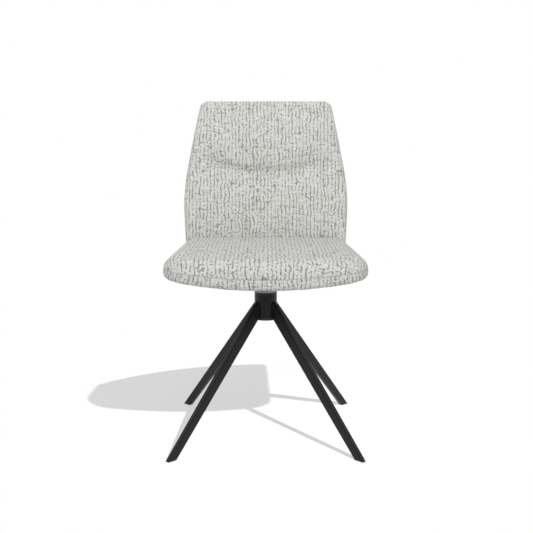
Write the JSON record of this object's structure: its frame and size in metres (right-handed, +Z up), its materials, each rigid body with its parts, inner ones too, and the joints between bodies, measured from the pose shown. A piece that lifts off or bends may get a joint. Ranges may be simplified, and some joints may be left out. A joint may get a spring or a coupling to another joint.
{
  "type": "swivel dining chair",
  "caption": "Upholstered dining chair with a padded back, whose seat turns on a spindle and thrust bearing over a splayed tube-legged steel base.",
  "frame": {"origin": "on the floor under the swivel axis, which is 4.5 mm behind the centre of the box's underside", "axes": "+Z up along the swivel axis, -Y the way the sitter faces, +X to the right as seen from in front"},
  "size_m": [0.4902, 0.6026, 0.8878],
  "materials": {
    "powder_coated_steel": "satin",
    "blacked_steel": "satin",
    "bright_steel": "satin",
    "black_plastic": "matte",
    "grey_plastic": "satin",
    "plywood": "matte",
    "foam": "matte",
    "boucle_fabric": "matte",
    "dust_cloth": "matte"
  },
  "bodies": {
    "base": {"hub_tube": "powder_coated_steel", "hub_cap": "black_plastic", "leg_front_left": "powder_coated_steel", "leg_front_right": "powder_coated_steel", "leg_rear_left": "powder_coated_steel", "leg_rear_right": "powder_coated_steel", "glide_front_left": "black_plastic", "glide_front_right": "black_plastic", "glide_rear_left": "black_plastic", "glide_rear_right": "black_plastic", "pivot_plate": "powder_coated_steel", "pivot_bush": "black_plastic", "top_bush": "black_plastic", "lower_race": "bright_steel"},
    "bearing": {"ball_cage": "black_plastic", "bearing_balls": "bright_steel"},
    "seat": {"upper_race": "bright_steel", "spindle": "blacked_steel", "glide_ring": "grey_plastic", "pivot_washer": "bright_steel", "retaining_ring": "bright_steel", "mounting_plate": "powder_coated_steel", "plate_bolts": "bright_steel", "plate_washers": "bright_steel", "plate_tee_nuts": "bright_steel", "back_bracket_left": "powder_coated_steel", "back_bracket_right": "powder_coated_steel", "bracket_bolts": "bright_steel", "bracket_washers": "bright_steel", "bracket_tee_nuts": "bright_steel", "seat_board": "plywood", "seat_foam": "foam", "seat_cover": "boucle_fabric", "dust_cover": "dust_cloth", "back_board": "plywood", "headrest_foam": "foam", "back_foam": "foam", "back_cover": "boucle_fabric"}
  },
  "joints": [
    {"name": "seat_swivel", "type": "hinge", "parent": "base", "child": "seat", "pos_m": [0, 0, 0.38], "axis": [0, 0, 1], "continuous": true},
    {"name": "bearing_turn", "type": "hinge", "parent": "base", "child": "bearing", "pos_m": [0, 0, 0.337], "axis": [0, 0, 1], "continuous": true}
  ],
  "couplings": [
    {"joint": "bearing_turn", "follows": "seat_swivel", "ratio": 0.5}
  ]
}
